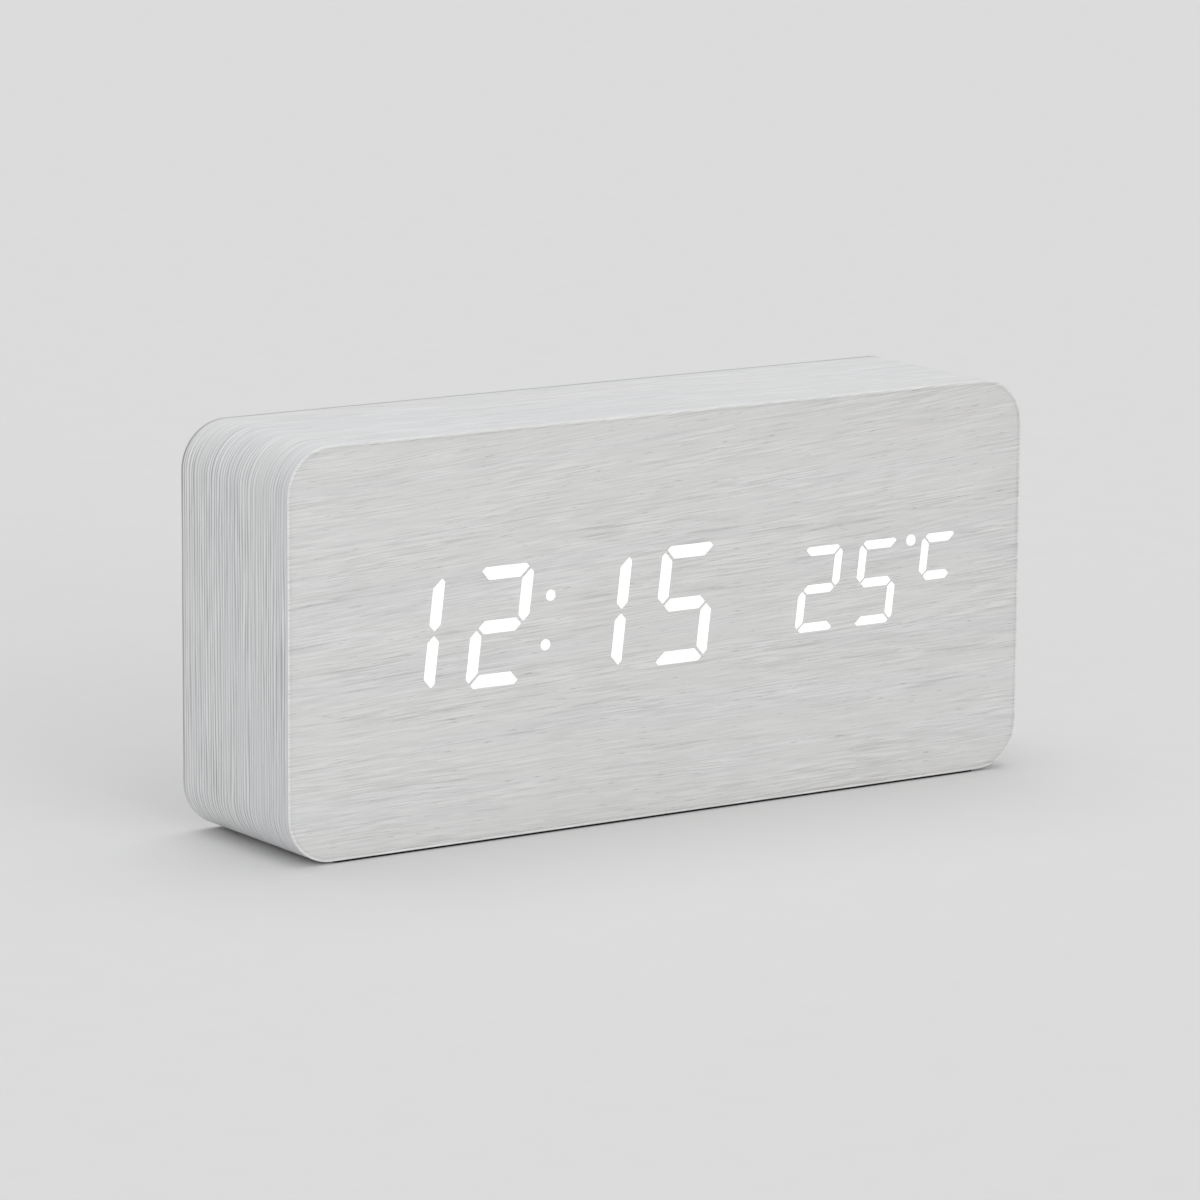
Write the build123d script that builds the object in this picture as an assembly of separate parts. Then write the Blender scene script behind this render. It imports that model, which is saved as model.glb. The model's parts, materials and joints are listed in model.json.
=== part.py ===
from build123d import *
import math
import os

# Digital LED desk clock: a veneered fibreboard slab with a segment display behind the front veneer,
# a moulded rear cover with push buttons and a battery door, and the boards between them.
# Millimetres. X runs to the right of someone facing the digits, Y from front to back, Z up.
# The origin is on the table, under the middle of the case. "rise" is height above the case's middle.

# Case outline
body_width = 200.0
body_height = 92.4
body_depth = 45.5
corner_radius = 11.0
edge_round = 0.2
veneer_thickness = 0.6
seam_gap = 0.005
band_seam = 0.1

# Feet
foot_height = 0.5
foot_width = 8.0
foot_corner = 1.0
foot_edge = 0.15
foot_face_inset = 0.4
foot_end_gap = 1.0

# Fibreboard core
cavity_wall = 12.9
cavity_radius = 6.0
window_fit = 0.2

# Time digits, measured between the centre lines of their strokes
time_digit_width = 12.2
time_digit_height = 24.1
time_stroke = 3.0
time_stroke_gap = 0.65
time_corner_cut = 2.2
time_digit_pitch = 23.35
time_rise = 1.95
colon_dot_radius = 1.3
colon_dot_spacing = 11.1

# Temperature digits
heat_digit_width = 9.2
heat_digit_height = 17.6
heat_stroke = 2.15
heat_stroke_gap = 0.4
heat_corner_cut = 1.6
heat_digit_pitch = 16.2
heat_rise = 1.65
unit_letter_width = 8.0
degree_dot_radius = 1.35

# Places of the digit groups: shares of the case width, and distances from the hours
hours_center_share = -0.2842
colon_distance = 24.46
minutes_distance = 49.76
heat_center_share = 0.2512
degree_dot_share = 0.3363
unit_letter_share = 0.3781
digit_slant = 6.95

# Display stack, front to back
mask_thickness = 0.2
housing_depth = 7.8
housing_margin = 2.2
housing_radius = 1.5
well_taper = 2.0
diffuser_depth = 3.0
fill_fit = 0.03
board_thickness = 1.6
display_board_lip = 1.5
display_board_flange = 6.2
display_board_radius = 1.0
display_board_fit = 0.5
led_length = 2.0
led_width = 1.25
led_height = 0.8

# Rear cover
cover_flange = 7.0
cover_radius = 7.0
cover_thickness = 2.2
cover_fit = 0.25
cover_edge = 0.5
panel_recess = 1.5
rim_wall = 1.6
rim_depth = 4.0
rib_thickness = 1.2
rib_height = 1.6

# Screws
screw_radius = 1.25
screw_hole_radius = 1.5
screw_bite = 6.5
screw_fit = 0.05
screw_head_radius = 2.4
screw_head_height = 1.5
screw_head_edge = 0.4
drive_width = 0.7
drive_length = 2.6
drive_depth = 0.7
cover_screw_side_inset = 12.0
display_screw_side_inset = 8.0
display_screw_edge_inset = 3.0
board_screw_inset = 4.0

# Buttons and the switches under them
button_radius = 3.5
button_fit = 0.15
button_stand = 1.2
button_edge = 0.5
button_dish_radius = 2.6
button_dish_depth = 0.35
button_flange_radius = 4.6
button_flange = 1.2
button_flange_gap = 0.25
button_stem_radius = 2.0
button_stem = 1.35
button_travel = 0.5
button_pitch = 17.0
button_rise = 11.0
collar_wall = 1.1
collar_fit = 0.4
collar_depth = 2.6
switch_size = 6.0
switch_body_height = 3.5
switch_height = 5.0
switch_round = 0.5
plunger_radius = 1.75
plunger_fit = 0.15
plunger_depth = 0.8

# Main board
main_board_side_gap = 16.75
main_board_height = 48.0
main_board_radius = 1.5
boss_radius = 3.2
boss_draft = 1.0

# Power socket
jack_size = 8.0
jack_round = 0.8
jack_nose_radius = 3.4
jack_nose_fit = 0.2
jack_nose_setback = 0.3
jack_bore_radius = 1.85
jack_bore_depth = 8.5
jack_pin_radius = 0.65
jack_pin_length = 7.0
jack_x_share = 0.30
jack_rise_share = -0.25

# Buzzer, microphone and temperature sensor
buzzer_radius = 6.0
buzzer_height = 6.4
buzzer_edge = 0.6
buzzer_port_radius = 1.1
buzzer_port_depth = 1.2
buzzer_x_share = -0.33
buzzer_rise_share = -0.25
sound_hole_radius = 0.7
sound_hole_ring = 3.0
sound_hole_count = 6
microphone_radius = 3.0
microphone_height = 4.0
microphone_lip = 0.6
microphone_x_share = -0.10
microphone_rise_share = -0.28
sensor_radius = 1.3
sensor_height = 4.6
sensor_lead_radius = 0.25
sensor_lead_spacing = 1.27
sensor_x_share = 0.09
sensor_rise_share = -0.28
vent_length = 9.0
vent_width = 1.4
vent_pitch = 3.0
vent_count = 3

# Chips and small parts on the boards
chip_length = 13.0
chip_width = 7.5
chip_height = 2.3
chip_standoff = 0.15
chip_edge = 0.3
chip_leg_count = 10
chip_leg_width = 0.45
chip_leg_sheet = 0.25
chip_leg_reach = 1.4
chip_leg_foot = 0.8
controller_x_share = -0.14
controller_rise_share = 0.20
driver_offset = 30.0
crystal_radius = 1.5
crystal_length = 8.0
crystal_edge = 0.3
crystal_gap = 0.05
crystal_x_share = 0.12
capacitor_radius = 3.15
capacitor_height = 7.0
capacitor_edge = 0.5
capacitor_x_share = 0.28
socket_width = 16.0
socket_size = 5.0
socket_height = 4.5
socket_round = 0.6
socket_slot_depth = 2.0
socket_slot_fit = 0.2
ribbon_width = 12.7
ribbon_thickness = 0.9
display_socket_rise_share = 0.20
main_socket_rise_share = -0.22
ribbon_bend_share = 0.45

# Battery box, cells and contacts
cell_radius = 5.25
cell_length = 44.5
cell_nub_radius = 1.9
cell_nub_length = 0.9
cell_edge = 0.6
cell_pitch = 11.0
cell_count = 4
cell_top_gap = 0.3
box_row_play = 0.4
box_wall = 2.2
box_floor = 1.6
box_floor_gap = 0.4
box_radius = 1.0
box_side_gap = 8.0
cradle_thickness = 2.4
cradle_height = 2.6
cradle_fit = 0.15
cradle_place_share = 0.27
contact_sheet = 0.4
contact_height = 6.8
contact_half_width = 4.3
contact_play = 0.1
leaf_bow = 3.0
leaf_chord = 6.0
leaf_width = 5.0
lead_radius = 0.55
lead_hole_fit = 0.2
lead_drop = 1.4
lead_exit_run = 7.0
lead_arch = 2.5
lead_pad_inset = 3.0
lead_pad_gap = 0.65
lead_bend_share = 0.45

# Battery door
door_thickness = 1.8
door_ledge = 1.3
door_gap = 0.25
door_radius = 1.6
door_edge = 0.3
hook_width = 5.0
hook_rise = 11.0
hook_reach = 1.5
hook_root = 1.5
hook_thickness = 1.1
hook_gap = 0.2
hook_slot_side = 0.5
hook_slot_depth = 5.0
hook_end_play = 0.5
latch_width = 12.0
latch_thickness = 1.0
latch_bend_radius = 1.6
latch_leg = 2.0
latch_leg_inset = 0.7
latch_setback = 0.2
latch_nose = 0.5
latch_nose_height = 1.2
latch_play = 0.9
pocket_wall = 1.2
grip_count = 4
grip_pitch = 2.2
grip_length = 14.0
grip_width = 0.9
grip_height = 0.4
grip_inset = 4.5

# How far cutting tools run past what they cut
overrun = 1.0

# Levels worked out from the sizes above
body_center_z = foot_height + body_height / 2
front_y = -body_depth / 2
rear_y = body_depth / 2
veneer_back_y = front_y + veneer_thickness
mask_back_y = veneer_back_y + mask_thickness
housing_back_y = mask_back_y + housing_depth
display_board_back_y = housing_back_y + board_thickness
core_rear_y = rear_y - veneer_thickness
cover_outer_y = rear_y - panel_recess
cover_inner_y = cover_outer_y - cover_thickness
board_standoff = switch_height + button_stem + button_flange + button_flange_gap
board_rear_y = cover_inner_y - board_standoff
board_front_y = board_rear_y - board_thickness
door_inner_y = cover_outer_y - door_thickness
cell_axis_y = door_inner_y - cell_top_gap - cell_radius
box_floor_y = cell_axis_y - cell_radius - box_floor_gap
box_front_y = box_floor_y - box_floor

# Outlines worked out from the sizes above
slant = math.tan(math.radians(digit_slant))
sheet_inset = veneer_thickness + seam_gap
sheet_width = body_width - 2 * sheet_inset
sheet_height = body_height - 2 * sheet_inset
sheet_radius = corner_radius - sheet_inset
hours_x = hours_center_share * body_width
colon_x = hours_x + colon_distance
minutes_x = hours_x + minutes_distance
heat_x = heat_center_share * body_width
degree_x = degree_dot_share * body_width
unit_x = unit_letter_share * body_width
time_reach = time_digit_width / 2 + time_stroke / 2 + slant * (time_digit_height + time_stroke) / 2
heat_reach = unit_letter_width / 2 + heat_stroke / 2 + slant * (heat_digit_height + heat_stroke) / 2
display_left = abs(hours_x) + time_digit_pitch / 2 + time_reach
display_right = unit_x + heat_reach
housing_width = 2 * (max(display_left, display_right) + housing_margin)
housing_height = time_digit_height + time_stroke + 2 * housing_margin
display_board_width = housing_width + 2 * display_board_lip
display_board_height = housing_height + 2 * display_board_flange
cavity_width = display_board_width + 2 * display_board_fit
cavity_height = body_height - 2 * cavity_wall
cover_width = cavity_width + 2 * cover_flange
cover_height = cavity_height + 2 * cover_flange
rim_width = cavity_width - 2 * cover_fit
rim_height = cavity_height - 2 * cover_fit
box_inner_width = cell_length + leaf_bow + 2 * contact_sheet + 2 * contact_play
box_inner_height = cell_count * cell_pitch + box_row_play
box_outer_width = box_inner_width + 2 * box_wall
box_outer_height = box_inner_height + 2 * box_wall
box_x = -rim_width / 2 + rim_wall + box_side_gap + box_outer_width / 2
box_left_x = box_x - box_inner_width / 2
box_right_x = box_x + box_inner_width / 2
door_width = box_inner_width + 2 * door_ledge
door_height = box_inner_height + 2 * door_ledge
door_left_x = box_x - door_width / 2
door_right_x = box_x + door_width / 2
board_space_left = box_right_x + box_wall
board_space_right = rim_width / 2 - rim_wall
board_x = (board_space_left + board_space_right) / 2
main_board_width = board_space_right - board_space_left - 2 * main_board_side_gap
cell_rises = [(row - (cell_count - 1) / 2) * cell_pitch for row in range(cell_count)]

# Helpers for placing shapes
standing = (Align.CENTER, Align.CENTER, Align.MIN)


def prism(outline, y_front, y_back, x=0.0, rise=0.0, taper=0.0):
    """Extrude an outline drawn as seen from the front, from one depth to another."""
    plane = Plane(origin=(x, y_front, body_center_z + rise), x_dir=(1, 0, 0), z_dir=(0, -1, 0))
    return extrude(plane * outline, amount=y_back - y_front, dir=(0, 1, 0), taper=taper)


def peg(x, rise, radius, y_front, y_back):
    """A round bar along the depth of the clock."""
    base = Plane(origin=(x, y_front, body_center_z + rise), x_dir=(1, 0, 0), z_dir=(0, 1, 0))
    return base * Cylinder(radius, y_back - y_front, align=standing)


def cone_peg(x, rise, front_radius, back_radius, y_front, y_back):
    """A tapered round bar along the depth of the clock."""
    base = Plane(origin=(x, y_front, body_center_z + rise), x_dir=(1, 0, 0), z_dir=(0, 1, 0))
    return base * Cone(front_radius, back_radius, y_back - y_front, align=standing)


def plan_profile(outline, rise, height):
    """Extrude an outline drawn in X and Y upwards, centred on a rise."""
    plane = Plane(origin=(0, 0, body_center_z + rise - height / 2))
    return extrude(plane * outline, amount=height, dir=(0, 0, 1))


def side_profile(outline, x_low, width):
    """Extrude an outline drawn in Y and rise along X."""
    plane = Plane(origin=(x_low, 0, body_center_z), x_dir=(0, 1, 0), z_dir=(1, 0, 0))
    return extrude(plane * outline, amount=width, dir=(1, 0, 0))


def block(x_low, x_high, y_low, y_high, rise_low, rise_high):
    """A square-edged block between six planes."""
    outline = Polygon((x_low, rise_low), (x_high, rise_low), (x_high, rise_high), (x_low, rise_high))
    return prism(outline, y_low, y_high)


def edges_at_depth(shape, depth):
    """The edges that lie flat at one depth."""
    flat = shape.edges().filter_by(Plane.XZ)
    return [edge for edge in flat if abs(edge.center().Y - depth) < fill_fit]


# Segment display outlines
class DigitStyle:
    """The sizes that one kind of digit draws its strokes from."""

    def __init__(self, width, height, stroke, gap, cut, rise):
        self.half_width = width / 2
        self.half_height = height / 2
        self.stroke = stroke
        self.mitre = gap / math.sqrt(2)
        self.cut = cut
        self.rise = rise


time_style = DigitStyle(
    time_digit_width, time_digit_height, time_stroke, time_stroke_gap, time_corner_cut, time_rise
)
heat_style = DigitStyle(
    heat_digit_width, heat_digit_height, heat_stroke, heat_stroke_gap, heat_corner_cut, heat_rise
)
unit_style = DigitStyle(
    unit_letter_width, heat_digit_height, heat_stroke, heat_stroke_gap, heat_corner_cut, heat_rise
)


def top_stroke(style):
    """The top bar: long outside, mitred inside, with its outer corners cut."""
    outer = style.half_height + style.stroke / 2
    end = style.half_width + style.stroke / 2
    tip_in = (style.cut + style.mitre) / 2
    tip_down = (style.cut - style.mitre) / 2
    half = [
        (end - style.cut, outer),
        (end - tip_in, outer - tip_down),
        (end - style.stroke - style.mitre, outer - style.stroke),
    ]
    return half + [(-x, rise) for x, rise in reversed(half)]


def side_stroke(style):
    """The upper right bar: mitred at the top and pointed at the middle of the digit."""
    outer = style.half_width + style.stroke / 2
    end = style.half_height + style.stroke / 2
    tip_in = (style.cut - style.mitre) / 2
    tip_down = (style.cut + style.mitre) / 2
    shoulder = style.mitre + style.stroke / 2
    return [
        (outer, end - style.cut),
        (outer - tip_in, end - tip_down),
        (outer - style.stroke, end - style.stroke - style.mitre),
        (outer - style.stroke, shoulder),
        (style.half_width, style.mitre),
        (outer, shoulder),
    ]


def middle_stroke(style):
    """The middle bar, pointed at both ends."""
    tip = style.half_width - style.mitre
    half = style.stroke / 2
    upper = [(tip, 0), (tip - half, half), (half - tip, half)]
    return upper + [(-x, -rise) for x, rise in upper]


def stroke_outline(style, letter, x):
    """One segment of a digit, a to g as usual, slanted and set at x."""
    if letter in "ad":
        points = top_stroke(style)
    elif letter == "g":
        points = middle_stroke(style)
    else:
        points = side_stroke(style)
    flip_x = -1 if letter in "ef" else 1
    flip_rise = -1 if letter in "cde" else 1
    placed = [(flip_x * px, flip_rise * py) for px, py in points]
    return Polygon(*[(x + px + slant * py, style.rise + py) for px, py in placed], align=None)


def dot_outline(x, rise, middle_rise, radius):
    """A round dot, moved along with the slant."""
    return Pos(x + slant * (rise - middle_rise), rise) * Circle(radius)


def digit_centers(middle, pitch):
    return [middle - pitch / 2, middle + pitch / 2]


every_stroke = "abcdefg"
unit_wired = [(unit_x, "afge")]
unit_shown = [(unit_x, "afg")]
hours_shown = list(zip(digit_centers(hours_x, time_digit_pitch), ["bc", "abged"]))
minutes_shown = list(zip(digit_centers(minutes_x, time_digit_pitch), ["bc", "afgcd"]))
heat_shown = list(zip(digit_centers(heat_x, heat_digit_pitch), ["abged", "afgcd"]))


def strokes(style, shown):
    return [stroke_outline(style, letter, x) for x, letters in shown for letter in letters]


def all_strokes(style, shown):
    return strokes(style, [(x, every_stroke) for x, letters in shown])


colon_outlines = [
    dot_outline(colon_x, time_rise + way * colon_dot_spacing / 2, time_rise, colon_dot_radius)
    for way in (-1, 1)
]
degree_outline = dot_outline(degree_x, heat_rise + heat_digit_height / 2, heat_rise, degree_dot_radius)
time_outlines = all_strokes(time_style, hours_shown + minutes_shown) + colon_outlines
heat_outlines = all_strokes(heat_style, heat_shown) + strokes(unit_style, unit_wired) + [degree_outline]
well_outlines = time_outlines + heat_outlines
heat_glow_outlines = strokes(heat_style, heat_shown) + strokes(unit_style, unit_shown) + [degree_outline]
glow_outlines = {
    "glow_hours": strokes(time_style, hours_shown),
    "glow_colon": colon_outlines,
    "glow_minutes": strokes(time_style, minutes_shown),
    "glow_temperature": heat_glow_outlines,
}


def shrunk(outline):
    """An outline that fits inside its own opening."""
    return offset(outline, amount=-fill_fit, kind=Kind.INTERSECTION)


# Case: core, veneers and band
def sheet_outline():
    return RectangleRounded(sheet_width, sheet_height, sheet_radius)


def make_edge_band():
    """One strip of veneer bent round the case, with its ends meeting underneath."""
    outside = prism(RectangleRounded(body_width, body_height, corner_radius), front_y, rear_y)
    outside = fillet(edges_at_depth(outside, front_y) + edges_at_depth(outside, rear_y), edge_round)
    inner_width = body_width - 2 * veneer_thickness
    inner_height = body_height - 2 * veneer_thickness
    inside = RectangleRounded(inner_width, inner_height, corner_radius - veneer_thickness)
    low_y = front_y - overrun
    high_y = rear_y + overrun
    seam = block(-band_seam / 2, band_seam / 2, low_y, high_y, -body_height / 2 - overrun, 0)
    return outside - prism(inside, low_y, high_y) - seam


def make_front_veneer():
    sheet = prism(sheet_outline(), front_y, veneer_back_y)
    windows = [outline for outlines in glow_outlines.values() for outline in outlines]
    return sheet - [prism(outline, front_y - overrun, veneer_back_y + overrun) for outline in windows]


def make_glow(outlines):
    """The patches of front veneer that the display lights from behind."""
    return [prism(shrunk(outline), front_y, veneer_back_y) for outline in outlines]


def cover_screw_places():
    side = cover_width / 2 - cover_screw_side_inset
    edge = cover_height / 2 - cover_flange / 2
    return [(x, rise) for x in (-side, 0, side) for rise in (-edge, edge)]


def display_screw_places():
    side = display_board_width / 2 - display_screw_side_inset
    edge = display_board_height / 2 - display_screw_edge_inset
    return [(x, time_rise + rise) for x in (-side, 0, side) for rise in (-edge, edge)]


def window_outline():
    radius = housing_radius + window_fit
    return RectangleRounded(housing_width + 2 * window_fit, housing_height + 2 * window_fit, radius)


def seat_outline():
    radius = cover_radius + cover_fit
    return RectangleRounded(cover_width + 2 * cover_fit, cover_height + 2 * cover_fit, radius)


def make_case_core():
    core = prism(sheet_outline(), veneer_back_y, core_rear_y)
    core -= prism(window_outline(), veneer_back_y - overrun, housing_back_y + overrun, rise=time_rise)
    cavity = RectangleRounded(cavity_width, cavity_height, cavity_radius)
    core -= prism(cavity, housing_back_y, core_rear_y + overrun)
    core -= prism(seat_outline(), cover_inner_y, core_rear_y + overrun)
    pilot = screw_radius + screw_fit
    for x, rise in cover_screw_places():
        core -= peg(x, rise, pilot, cover_inner_y - screw_bite - screw_fit, cover_inner_y + overrun)
    for x, rise in display_screw_places():
        core -= peg(x, rise, pilot, housing_back_y - screw_bite - screw_fit, housing_back_y + overrun)
    return core


def make_rear_veneer():
    opening = prism(seat_outline(), core_rear_y - overrun, rear_y + overrun)
    return prism(sheet_outline(), core_rear_y, rear_y) - opening


def make_feet():
    foot_length = body_width - 2 * (corner_radius + foot_end_gap)
    feet = []
    for face in (-1, 1):
        y = face * (body_depth / 2 - foot_face_inset - foot_width / 2)
        pad = Pos(0, y, 0) * extrude(RectangleRounded(foot_length, foot_width, foot_corner), foot_height)
        feet.append(chamfer(pad.edges().group_by(Axis.Z)[0], foot_edge))
    return feet


# Display module
def housing_outline():
    return RectangleRounded(housing_width, housing_height, housing_radius)


def make_light_mask():
    """Black film with a window for every segment, lit or not."""
    film = prism(housing_outline(), veneer_back_y, mask_back_y, rise=time_rise)
    low_y = veneer_back_y - overrun
    high_y = mask_back_y + overrun
    return film - [prism(outline, low_y, high_y) for outline in well_outlines]


def make_digit_housing():
    """The moulding with a tapered light well for every segment."""
    housing = prism(housing_outline(), mask_back_y, housing_back_y, rise=time_rise)
    wells = [prism(outline, mask_back_y, housing_back_y, taper=well_taper) for outline in well_outlines]
    return housing - wells


def make_diffusers(outlines):
    fills = []
    for outline in outlines:
        neck = prism(shrunk(outline), veneer_back_y, mask_back_y)
        fill = prism(shrunk(outline), mask_back_y, mask_back_y + diffuser_depth, taper=well_taper)
        fills.append(neck + fill)
    return fills


def make_led_chips():
    chips = []
    for outline in well_outlines:
        box = outline.bounding_box()
        upright = box.size.Y > box.size.X
        middle = outline.center()
        round_dot = len(outline.edges()) == 1
        length = led_width if round_dot else led_length
        chip = Rectangle(length, led_width, rotation=90 - digit_slant if upright else 0)
        chips.append(prism(chip, housing_back_y - led_height, housing_back_y, x=middle.X, rise=middle.Y))
    return chips


def make_display_board():
    outline = RectangleRounded(display_board_width, display_board_height, display_board_radius)
    board = prism(outline, housing_back_y, display_board_back_y, rise=time_rise)
    holes = [
        peg(x, rise, screw_hole_radius, housing_back_y - overrun, display_board_back_y + overrun)
        for x, rise in display_screw_places()
    ]
    return board - holes


# Screws
def drive_cross(x, rise, y_low, y_high):
    """The cross slot in a screw head."""
    slot = Rectangle(drive_length, drive_width) + Rectangle(drive_width, drive_length)
    return prism(slot, y_low, y_high, x=x, rise=rise)


def pan_screw(x, rise, seat_y, facing, bite):
    """A pan-head screw whose head stands on seat_y and faces along Y one way or the other."""
    tip_y = seat_y - facing * bite
    head_y = seat_y + facing * screw_head_height
    head = peg(x, rise, screw_head_radius, min(seat_y, head_y), max(seat_y, head_y))
    head = fillet(edges_at_depth(head, head_y), screw_head_edge)
    slot_y = head_y - facing * drive_depth
    past_y = head_y + facing * overrun
    head -= drive_cross(x, rise, min(slot_y, past_y), max(slot_y, past_y))
    return head + peg(x, rise, screw_radius, min(seat_y, tip_y), max(seat_y, tip_y))


def countersunk_screw(x, rise):
    """A rear cover screw, flush with the cover's outer face."""
    throat_y = cover_outer_y - screw_head_height
    head = cone_peg(x, rise, screw_radius, screw_head_radius, throat_y, cover_outer_y)
    head -= drive_cross(x, rise, cover_outer_y - drive_depth, cover_outer_y + overrun)
    return head + peg(x, rise, screw_radius, cover_inner_y - screw_bite, throat_y)


def make_display_screws():
    bite = screw_bite + board_thickness
    return [pan_screw(x, rise, display_board_back_y, 1, bite) for x, rise in display_screw_places()]


def board_screw_places():
    side = main_board_width / 2 - board_screw_inset
    edge = main_board_height / 2 - board_screw_inset
    return [(board_x + x, rise) for x in (-side, side) for rise in (-edge, edge)]


def make_board_screws():
    return [pan_screw(x, rise, board_front_y, -1, screw_bite) for x, rise in board_screw_places()]


# Main board and what is soldered to it
def on_board(x_share, rise_share):
    return board_x + x_share * main_board_width, rise_share * main_board_height


button_xs = [board_x + step * button_pitch for step in (-1, 0, 1)]
jack_x, jack_rise = on_board(jack_x_share, jack_rise_share)
buzzer_x, buzzer_rise = on_board(buzzer_x_share, buzzer_rise_share)
microphone_x, microphone_rise = on_board(microphone_x_share, microphone_rise_share)
sensor_x, sensor_rise = on_board(sensor_x_share, sensor_rise_share)
controller_x, controller_rise = on_board(controller_x_share, controller_rise_share)
display_socket_rise = time_rise + display_socket_rise_share * display_board_height
main_socket_rise = main_socket_rise_share * main_board_height


def make_main_board():
    outline = RectangleRounded(main_board_width, main_board_height, main_board_radius)
    board = prism(outline, board_front_y, board_rear_y, x=board_x)
    holes = [
        peg(x, rise, screw_hole_radius, board_front_y - overrun, board_rear_y + overrun)
        for x, rise in board_screw_places()
    ]
    return board - holes


def make_tact_switches():
    top_y = board_rear_y + switch_body_height
    bore = plunger_radius + plunger_fit
    floor_y = top_y - plunger_depth - button_travel - button_flange_gap
    switches = []
    for x in button_xs:
        outline = RectangleRounded(switch_size, switch_size, switch_round)
        body = prism(outline, board_rear_y, top_y, x=x, rise=button_rise)
        switches.append(body - peg(x, button_rise, bore, floor_y, top_y + overrun))
    return switches


def make_plunger(x):
    top_y = board_rear_y + switch_height
    return peg(x, button_rise, plunger_radius, board_rear_y + switch_body_height - plunger_depth, top_y)


def make_button(x):
    foot_y = board_rear_y + switch_height
    flange_y = foot_y + button_stem
    top_y = cover_outer_y + button_stand
    cap = peg(x, button_rise, button_radius, flange_y + button_flange, top_y)
    cap = fillet(edges_at_depth(cap, top_y), button_edge)
    ball_radius = (button_dish_radius**2 + button_dish_depth**2) / (2 * button_dish_depth)
    ball_y = top_y - button_dish_depth + ball_radius
    cap -= Pos(x, ball_y, body_center_z + button_rise) * Sphere(ball_radius)
    flange = peg(x, button_rise, button_flange_radius, flange_y, flange_y + button_flange)
    return cap + flange + peg(x, button_rise, button_stem_radius, foot_y, flange_y)


def make_dc_jack():
    outline = RectangleRounded(jack_size, jack_size, jack_round)
    nose_y = cover_outer_y - jack_nose_setback
    jack = prism(outline, board_rear_y, cover_inner_y - jack_nose_fit, x=jack_x, rise=jack_rise)
    jack += peg(jack_x, jack_rise, jack_nose_radius, cover_inner_y - jack_nose_fit, nose_y)
    return jack - peg(jack_x, jack_rise, jack_bore_radius, nose_y - jack_bore_depth, nose_y + overrun)


def make_dc_jack_pin():
    foot_y = cover_outer_y - jack_nose_setback - jack_bore_depth
    pin = peg(jack_x, jack_rise, jack_pin_radius, foot_y, foot_y + jack_pin_length)
    return fillet(edges_at_depth(pin, foot_y + jack_pin_length), jack_pin_radius / 2)


def make_buzzer():
    top_y = board_rear_y + buzzer_height
    can = peg(buzzer_x, buzzer_rise, buzzer_radius, board_rear_y, top_y)
    can = fillet(edges_at_depth(can, top_y), buzzer_edge)
    return can - peg(buzzer_x, buzzer_rise, buzzer_port_radius, top_y - buzzer_port_depth, top_y + overrun)


def make_microphone():
    top_y = board_rear_y + microphone_height
    can = peg(microphone_x, microphone_rise, microphone_radius, board_rear_y, top_y)
    face_radius = microphone_radius - microphone_lip
    return can - peg(microphone_x, microphone_rise, face_radius, top_y - microphone_lip, top_y + overrun)


def make_temperature_sensor():
    bead_y = board_rear_y + sensor_height
    sensor = Pos(sensor_x, bead_y, body_center_z + sensor_rise) * Sphere(sensor_radius)
    for way in (-1, 1):
        lead_x = sensor_x + way * sensor_lead_spacing / 2
        sensor += peg(lead_x, sensor_rise, sensor_lead_radius, board_rear_y, bead_y)
    return sensor


def make_chip(x, rise, seat_y, facing):
    """A small-outline chip on a board face, with gull-wing legs along its long sides."""
    low_y = seat_y + facing * chip_standoff
    high_y = low_y + facing * chip_height
    body = prism(Rectangle(chip_length, chip_width), min(low_y, high_y), max(low_y, high_y), x=x, rise=rise)
    chip = chamfer(edges_at_depth(body, high_y), chip_edge)
    leg_top = (low_y + high_y) / 2
    pitch = chip_length / chip_leg_count
    for way in (-1, 1):
        root = rise + way * (chip_width / 2 - chip_edge)
        knee = rise + way * (chip_width / 2 + chip_leg_reach - chip_leg_foot)
        toe = rise + way * (chip_width / 2 + chip_leg_reach)
        leg = Polygon(
            (leg_top, root),
            (leg_top, knee),
            (seat_y + facing * chip_leg_sheet, knee),
            (seat_y + facing * chip_leg_sheet, toe),
            (seat_y, toe),
            (seat_y, knee - way * chip_leg_sheet),
            (leg_top - facing * chip_leg_sheet, knee - way * chip_leg_sheet),
            (leg_top - facing * chip_leg_sheet, root),
            align=None,
        )
        for step in range(chip_leg_count):
            leg_x = x + (step - (chip_leg_count - 1) / 2) * pitch - chip_leg_width / 2
            chip += side_profile(leg, leg_x, chip_leg_width)
    return chip


def make_crystal():
    x, rise = on_board(crystal_x_share, controller_rise_share)
    axis_y = board_front_y - crystal_radius - crystal_gap
    can = Cylinder(crystal_radius, crystal_length)
    can = fillet(can.edges(), crystal_edge)
    return Pos(x, axis_y, body_center_z + rise) * can


def make_capacitor():
    x, rise = on_board(capacitor_x_share, controller_rise_share)
    can = peg(x, rise, capacitor_radius, board_front_y - capacitor_height, board_front_y)
    return fillet(edges_at_depth(can, board_front_y - capacitor_height), capacitor_edge)


def make_socket(seat_y, facing, rise):
    """A ribbon socket on a board face, with the slot that the ribbon goes into."""
    outline = RectangleRounded(socket_width, socket_size, socket_round)
    mouth_y = seat_y + facing * socket_height
    socket = prism(outline, min(seat_y, mouth_y), max(seat_y, mouth_y), x=board_x, rise=rise)
    slot = Rectangle(ribbon_width + 2 * socket_slot_fit, ribbon_thickness + 2 * socket_slot_fit)
    slot_y = mouth_y - facing * socket_slot_depth
    past_y = mouth_y + facing * overrun
    return socket - prism(slot, min(slot_y, past_y), max(slot_y, past_y), x=board_x, rise=rise)


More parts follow.
